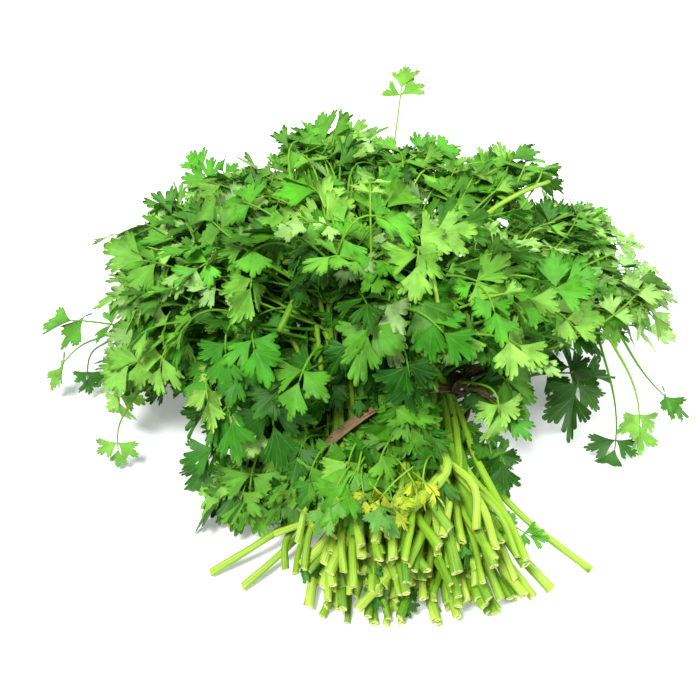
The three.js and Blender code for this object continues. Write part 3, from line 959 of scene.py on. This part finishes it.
# bare stalks seen between the leaves: where each runs, its radius and tone
BARE_STALKS = [
    ([(-30, 78, 128), (-46, 50, 136), (-60, 26, 134), (-70, 6, 124)], 2.7, 0.1),
    ([(6, 74, 140), (14, 50, 150), (20, 30, 148), (24, 12, 136)], 1.9, 0.7),
    ([(-60, 60, 136), (-92, 62, 146), (-120, 58, 138), (-146, 54, 122)], 1.7, 0.5),
    ([(40, 80, 132), (62, 96, 148), (84, 112, 152), (104, 128, 150)], 1.8, 0.8),
]
for way, radius, tone in BARE_STALKS:
    home = min(leaf_places, key=lambda k: np.linalg.norm(leaf_places[k] - vec(*way[1])))
    stalk(leaf_soups[home], spline(way, 18), np.linspace(radius, radius * 0.7, 19), 12, 6,
          (tone, 0.5, 0, 0.3), STALK_SLOT)

# leaves that stand out: place, heading, pitch, roll, size, tone, youth, paleness
FEATURE_LEAVES = [
    ((-132, 52, 122), -62, 6, 14, 0.95, 0.9, 0.9, 0.8),  # cream leaf, left of the crown
    ((-84, -20, 74), -128, 34, -12, 0.9, 1.0, 1.0, 0.25),  # yellow-green, left of the tie
    ((-74, -24, 90), 172, 50, 4, 1.25, 0.12, 0.0, 0.0),  # large dark one over the tie's left
    ((-88, -34, 44), -168, 44, 10, 1.15, 0.6, 0.35, 0.0),  # two low ones left of the stems
    ((-116, 0, 30), -150, 34, -8, 1.0, 0.25, 0.0, 0.0),
    ((-168, 52, 84), -150, 46, 6, 1.3, 0.75, 0.3, 0.0),  # large one at the left
    ((-206, 68, 80), -84, 2, -6, 0.95, 0.6, 0.2, 0.0),
    ((-186, 128, 106), -60, 4, 0, 0.8, 0.8, 0.6, 0.45),
    ((14, 70, 152), 140, 26, -6, 1.15, 0.7, 0.3, 0.7),  # pale ones on the crown
    ((26, 12, 124), 150, 42, 10, 0.85, 1.0, 1.0, 0.0),
    ((72, 48, 104), 118, 40, -20, 0.95, 0.9, 0.8, 0.5),
    ((64, 148, 142), 38, -14, 10, 0.9, 0.4, 0.1, 0.0),  # sprigs at the right of the crown
    ((86, 152, 132), 62, -4, -10, 0.85, 0.6, 0.3, 0.0),
    ((162, 138, 92), 76, 4, 0, 0.7, 0.9, 0.5, 0.45),
    ((168, 84, 62), 88, 18, -12, 1.0, 0.9, 0.8, 0.6),
    ((126, 48, 42), -160, 22, 8, 1.05, 0.0, 0.0, 0.0),  # dark one under the right edge
    ((-44, 166, 152), -10, -18, 0, 1.1, 0.7, 0.2, 0.0),
    ((-18, 172, 148), 12, -16, 0, 1.0, 0.6, 0.3, 0.2),
    ((44, -6, 68), 156, 40, -8, 1.05, 0.7, 0.3, 0.0),  # right of the stems
    ((46, -40, 62), 164, 34, 12, 0.95, 0.5, 0.2, 0.0),
    ((-34, -80, 74), -120, 16, 10, 0.70, 0.5, 0.1, 0.16),  # grey-green pair on the stems
    ((-12, -84, 74), 130, 20, -10, 0.64, 0.4, 0.1, 0.14),
    ((-52, -82, 20), -160, 30, 0, 0.42, 0.5, 0.1, 0.0),  # small ones between the stems
    ((-14, -100, 20), 170, 40, 20, 0.40, 0.3, 0.0, 0.0),
    ((36, -86, 44), 130, 40, -20, 0.45, 0.5, 0.1, 0.0),
    ((74, -74, 38), 110, 30, 10, 0.45, 0.6, 0.2, 0.0),
    ((6, -104, 12), -170, 50, 0, 0.36, 0.2, 0.0, 0.0),
]
LARGE = 1.2     # a leaf past this size has three leaflets
for at, heading, pitch, roll, size, tone, youth, pale in FEATURE_LEAVES:
    grow_leaf(at, heading, pitch, roll, size, tone, youth, pale, detail=0,
              pairs=1 if size > LARGE else 2, back=45)

# leaves that droop to the floor on long bare stalks: where each leaves the bunch, its place,
# heading, pitch, size, tone and youth
DROOPERS = [
    ((-186, 66, 74), (-230, 80, 32), -120, 46, 0.62, 0.7, 0.7),
    ((-186, 64, 72), (-214, 76, 26), -176, 58, 0.60, 0.3, 0.0),
    ((-160, 40, 60), (-180, 30, 48), -176, 66, 0.70, 0.8, 0.8),
    ((-160, 40, 60), (-182, 12, 22), 176, 56, 0.62, 0.6, 0.6),
    ((132, 72, 92), (150, 18, 18), -172, 50, 0.80, 0.2, 0.0),
    ((134, 70, 90), (166, 30, 30), 176, 52, 0.85, 0.8, 0.6),
    ((138, 74, 88), (186, 46, 32), 120, 36, 0.75, 0.4, 0.1),
]
for start, at, heading, pitch, size, tone, youth in DROOPERS:
    grow_leaf(at, heading, pitch, rng.uniform(-14, 14), size, tone, youth, detail=0, pairs=1,
              start=start)

# small wilted leaves, gone yellow, among the tops of the stems
for k in range(WILTED_LEAVES):
    at = vec(-48 + 5.5 * k, -66 - 16 * rng.uniform(), 0)
    at[2] = pile_top(at[0], at[1]) + rng.uniform(8, 15)
    grow_leaf(at, 180 + rng.uniform(-80, 80), rng.uniform(0, 60), rng.uniform(-60, 60),
              rng.uniform(0.38, 0.6), rng.uniform(0.4, 1), 1.0, pairs=1, back=25, wilted=True)


# --- the tie ---
def hoop(angle, out, along=0.0):
    """A point of the tie: out past its inner face, along across the strap."""
    x = (HALF_WIDTH - THICK + out) * math.cos(angle)
    z = HALF_HEIGHT + (HALF_HEIGHT - THICK + out) * math.sin(angle)
    return vec(x, SKEW * x + along, z)


KNOT = 38 * DEG     # where on the tie its knot is
strap = Soup()
for lap, (offset, width) in enumerate(((-0.8, 4.6), (1.4, 3.6))):
    angles = np.linspace(KNOT, KNOT + 2 * math.pi, 91)
    path = np.array([hoop(a, THICK + 0.4 + 0.5 * lap, offset + 1.1 * math.sin(5 * a + 2 * lap))
                     for a in angles])
    out = np.array([hoop(a, 10) - hoop(a, 0) for a in angles])
    ribbon(strap, path, out, width, 0.5, rng, 0.0)

# the knot's loops and tails: width, shade, and points right, back and up from the knot's middle
LOOPS = [
    (5.5, 0.9, [(0, 0, 0), (8, 6, 7), (17, 12, 8), (22, 18, 2), (14, 18, -2), (4, 8, 0), (0, 0, 1)]),
    (5, 0.5, [(0, 0, 1), (-4, 8, 8), (-10, 17, 10), (-16, 20, 5), (-12, 12, 1), (-3, 3, 1)]),
    (4.5, 0.3, [(1, 0, 0), (9, -5, 4), (18, -9, 1), (25, -9, -6)]),
    (4, 0.6, [(0, 1, 1), (7, 9, 2), (16, 17, -3), (24, 27, -8)]),
    (6, 0.9, [(-6, -5, -1), (-2, -5, 5), (4, -1, 7), (6, 5, 4), (3, 8, -1)]),
    (5, 1, [(-3, -7, 0), (-4, -2, 6), (-1, 4, 7), (3, 8, 3), (6, 9, -2)]),
]
bow = Soup()
centre = hoop(KNOT, THICK + 3)
for width, shade, loop in LOOPS:
    path = spline([centre + vec(*p) for p in loop], 26)
    out = np.tile(vec(0.35, -0.2, 0.9), (len(path), 1)) + 0.5 * np.sin(
        np.linspace(0, 7, len(path))[:, None] + vec(0, 2, 4))
    ribbon(bow, path, out, width, 0.9, rng, shade)

# --- pieces ---
LEAF_LOOKS = [LEAF_LOOK, STEM_LOOK, WILTED_LOOK]
PIECES = [(soup, f"stalks_{k + 1:02d}", [STEM_LOOK], f"stem_{k + 1:02d}", "stem")
          for k, soup in stem_soups.items()]
PIECES += [(soup, f"leaves_{k + 1:02d}", LEAF_LOOKS, f"leaf_{k + 1:02d}", "leaf")
           for k, soup in leaf_soups.items()]
PIECES += [(strap, "tie_strap", [TIE_LOOK], "tie_band", "tie"),
           (bow, "tie_bow", [TIE_LOOK], "tie_knot", "tie")]
for soup, name, materials, node, slot in PIECES:
    piece = soup.build(name, materials)
    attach(piece, "root")
    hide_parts(node)

# --- camera, floor and light ---
scene = bpy.context.scene
camera = bpy.data.cameras.new("camera")
camera.sensor_width, camera.lens = 36, 50
viewer = bpy.data.objects.new("camera", camera)
scene.collection.objects.link(viewer)
aim, lift, away = Vector((TIE_AT + vec(-28, 50, 70)) / 1000), 42 * DEG, 0.64
viewer.location = aim + away * Vector((0, -math.cos(lift), math.sin(lift)))
viewer.rotation_euler = (math.pi / 2 - lift, 0, 0)
scene.camera = viewer

bpy.ops.mesh.primitive_plane_add(size=8)
floor = bpy.context.object
floor.name = "floor"
n = Nodes("pale_floor")
floor.data.materials.append(n.finish(n.new("ShaderNodeBsdfPrincipled", {
    "Base Color": (0.80, 0.81, 0.82), "Roughness": 0.7, "Specular IOR Level": 0.2,
    "Emission Color": (0.97, 0.985, 1.0), "Emission Strength": 0.24}).outputs[0]))

world = bpy.data.worlds.new("studio")
world.use_nodes = True
world.node_tree.nodes["Background"].inputs["Color"].default_value = (0.97, 0.985, 1, 1)
world.node_tree.nodes["Background"].inputs["Strength"].default_value = 0.48
scene.world = world


def panel(name, at, size, power):
    """A round light that faces the bunch's middle."""
    light = bpy.data.lights.new(name, "AREA")
    light.shape, light.size, light.energy = "DISK", size, power
    thing = bpy.data.objects.new(name, light)
    thing.location = at
    thing.rotation_euler = (Vector((0, 0, 0.05)) - Vector(at)).to_track_quat("-Z", "Y").to_euler()
    scene.collection.objects.link(thing)


panel("key", (-0.5, -0.8, 1.8), 0.7, 64)
panel("fill", (1.2, 0.1, 1.3), 1.2, 30)
scene.view_settings.view_transform = "Standard"
scene.view_settings.look = "None"
